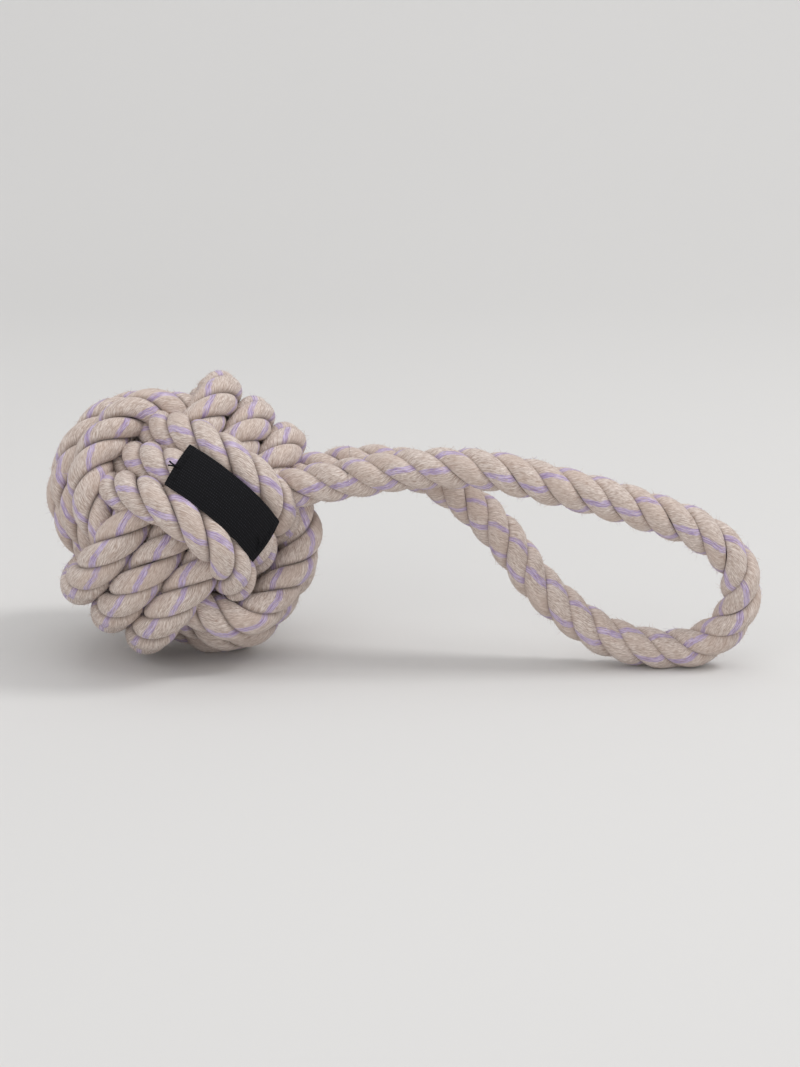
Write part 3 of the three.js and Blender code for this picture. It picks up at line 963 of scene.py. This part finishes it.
ribbon, tree, shader = new_material("woven_polyester_ribbon")
cloth = add_node(tree, "ShaderNodeTexCoord").outputs["UV"]
size = (LABEL_LENGTH / MM, LABEL_WIDTH / MM, 1)
threads_at = add_node(tree, "ShaderNodeVectorMath", {0: cloth, 1: size}, operation="MULTIPLY").outputs[0]
rib_wave = {"Vector": threads_at, "Scale": WAVE_LENGTH / RIB}
ribs = add_node(tree, "ShaderNodeTexWave", rib_wave, bands_direction="X").outputs["Fac"]
warp_wave = {"Vector": threads_at, "Scale": WAVE_LENGTH / WARP}
warps = add_node(tree, "ShaderNodeTexWave", warp_wave, bands_direction="Y").outputs["Fac"]
weave = add_node(tree, "ShaderNodeMath", {0: ribs, 1: warps}, operation="MULTIPLY").outputs[0]
specks = {"Vector": threads_at, "Scale": 1 / LINT, "Detail": 3.0}
lint = add_node(tree, "ShaderNodeTexNoise", specks).outputs["Fac"]
tone = two_tone(tree, lint, 0.45, 0.75, "#232326", "#3C3C42")
# Painted shade: where the weave dips between threads, the colour goes nearly black.
tones = {MIX_SHARE: weave, MIX_FIRST: srgb(WEAVE_GAP_SHADE), MIX_SECOND: tone}
tone = add_node(tree, "ShaderNodeMix", tones, data_type="RGBA").outputs[MIX_RESULT]
linted = {0: lint, 1: LINT_HEIGHT, 2: weave}
height = add_node(tree, "ShaderNodeMath", linted, operation="MULTIPLY_ADD").outputs[0]
bump = add_node(tree, "ShaderNodeBump", {"Height": height, "Strength": 0.5, "Distance": WEAVE_DEPTH})
tree.links.new(tone, shader.inputs["Base Color"])
tree.links.new(bump.outputs["Normal"], shader.inputs["Normal"])
shader.inputs["Roughness"].default_value = 0.85
shader.inputs["Specular IOR Level"].default_value = 0.12
label.data.materials.clear()
label.data.materials.append(ribbon)
print("ribs on the label:", round(LABEL_LENGTH / MM / RIB))

# %% [markdown]
# ### Sewing thread
# Black spun polyester thread: matt, with the small bumps and dull glints of its twist.

# %% Thread material
TWIST = 0.4 * MM
TWIST_DEPTH = 0.1 * MM

sewing, tree, shader = new_material("spun_sewing_thread")
place = add_node(tree, "ShaderNodeTexCoord").outputs["Object"]
spun = {"Vector": place, "Scale": 1 / TWIST, "Detail": 2.0}
twist = add_node(tree, "ShaderNodeTexNoise", spun).outputs["Fac"]
tree.links.new(two_tone(tree, twist, 0.3, 0.7, "#0C0C0D", "#1D1D20"), shader.inputs["Base Color"])
bump = add_node(tree, "ShaderNodeBump", {"Height": twist, "Strength": 0.4, "Distance": TWIST_DEPTH})
tree.links.new(bump.outputs["Normal"], shader.inputs["Normal"])
shader.inputs["Roughness"].default_value = 0.8
shader.inputs["Specular IOR Level"].default_value = 0.12
for piece in threads:
    piece.data.materials.clear()
    piece.data.materials.append(sewing)
print("thread material on", len(threads), "pieces")

# %% [markdown]
# ## Stage and light
# The floor runs back and curves up into the backdrop, as matt paper does in a studio, so there is no
# horizon. A lamp high on the right throws the shadow to the left. A broad one in front on the left and
# a weak, broad one above soften it, and a pale world fills in the rest.

# %% Floor and backdrop
FLOOR_HALF = 3.0
BACKDROP_Y = 1.6
BACKDROP_HEIGHT = 2.4
SWEEP_SIZE = 0.9
SWEEP_STEPS = 24
EDGE_NEAR = 0.01

bpy.ops.object.select_all(action="DESELECT")
bpy.ops.mesh.primitive_plane_add(size=2 * FLOOR_HALF, location=(0, BACKDROP_Y - FLOOR_HALF, 0))
floor = bpy.context.object
floor.name = "paper_floor"
bpy.ops.object.transform_apply(location=True)
bpy.ops.object.mode_set(mode="EDIT")
bpy.ops.mesh.select_mode(type="EDGE")
bpy.ops.mesh.select_all(action="DESELECT")
bpy.ops.object.mode_set(mode="OBJECT")
for edge in floor.data.edges:
    edge.select = all(floor.data.vertices[v].co.y > BACKDROP_Y - EDGE_NEAR for v in edge.vertices)
bpy.ops.object.mode_set(mode="EDIT")
bpy.ops.mesh.extrude_region_move(TRANSFORM_OT_translate={"value": (0, 0, BACKDROP_HEIGHT)})
bpy.ops.object.mode_set(mode="OBJECT")
curve_up = floor.modifiers.new("sweep", "BEVEL")
curve_up.width = SWEEP_SIZE
curve_up.segments = SWEEP_STEPS
bpy.ops.object.modifier_apply(modifier="sweep")
bpy.ops.object.shade_smooth()
print("floor faces:", len(floor.data.polygons))

# %% Paper of the floor
PAPER_PATCHES = 6.0  # faint patches along a side of the floor

paper, tree, shader = new_material("matt_paper")
grain = add_node(tree, "ShaderNodeTexNoise", {"Scale": PAPER_PATCHES, "Detail": 2.0}).outputs["Fac"]
tree.links.new(two_tone(tree, grain, 0.3, 0.7, "#D6D5D3", "#D9D8D6"), shader.inputs["Base Color"])
shader.inputs["Roughness"].default_value = 0.9
shader.inputs["Specular IOR Level"].default_value = 0.1
floor.data.materials.append(paper)
print("paper on", floor.name)

# %% Lamps and world
AIM = (0, 0, 0.05)
WORLD_COLOUR = "#F2F2F4"
WORLD_STRENGTH = 0.77


def lamp(name, place, size, power):
    bpy.ops.object.light_add(type="AREA", location=place)
    made = bpy.context.object
    made.name = name
    made.rotation_euler = (Vector(AIM) - Vector(place)).to_track_quat("-Z", "Y").to_euler()
    made.data.shape = "SQUARE"
    made.data.size = size
    made.data.energy = power
    return made


lamps = [
    lamp("right_lamp", (1.35, -0.05, 1.65), size=0.5, power=14),
    lamp("front_lamp", (-0.9, -1.8, 1.0), size=1.6, power=8),
    lamp("top_lamp", (0.0, -0.1, 1.6), size=1.4, power=4),
]
world = bpy.data.worlds.new("studio")
world.use_nodes = True
world.node_tree.nodes["Background"].inputs["Color"].default_value = srgb(WORLD_COLOUR)
world.node_tree.nodes["Background"].inputs["Strength"].default_value = WORLD_STRENGTH
bpy.context.scene.world = world
bpy.context.scene.view_settings.view_transform = "Standard"
print("lamps:", [made.name for made in lamps])
